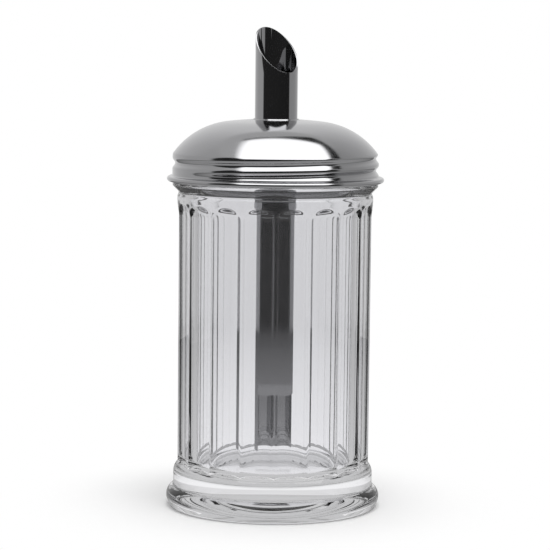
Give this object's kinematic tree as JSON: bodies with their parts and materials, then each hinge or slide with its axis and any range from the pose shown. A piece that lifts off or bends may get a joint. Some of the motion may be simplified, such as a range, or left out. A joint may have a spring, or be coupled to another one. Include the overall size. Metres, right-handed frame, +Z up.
{
  "type": "sugar_dispenser",
  "caption": "Fluted glass sugar jar with a domed stainless steel screw cap; a long dosing tube with a slanted spout stands in the cap's centre",
  "frame": {"origin": "centre of the jar's foot, in the plane of the table", "axes": "+Z up along the common axis of jar, cap and tube; the spout opens towards -Y"},
  "size_m": [0.0786, 0.0786, 0.175],
  "materials": {
    "glass": "clear pressed soda-lime glass, fire polished",
    "cap_steel": "polished stainless sheet with a very fine grain round the axis",
    "tube_steel": "bright drawn stainless tube",
    "collar_steel": "plain stainless, as turned",
    "seal": "soft food-grade seal, matte"
  },
  "bodies": {
    "jar_body": {"jar": "glass"},
    "seal_body": {"seal_ring": "seal"},
    "cap_body": {"cap": "cap_steel", "pour_tube": "tube_steel", "tube_collar": "collar_steel"}
  },
  "joints": [
    {"name": "cap_rise", "type": "slide", "parent": "jar_body", "child": "seal_body", "axis": [0, 0, 1], "range_m": [0, 0.0053]},
    {"name": "cap_turn", "type": "hinge", "parent": "seal_body", "child": "cap_body", "pos_m": [0, 0, 0.127], "axis": [0, 0, 1], "range_deg": [0, 450]}
  ],
  "couplings": [
    {"joint": "cap_rise", "follows": "cap_turn", "m_per_rad": 0.00066845}
  ]
}
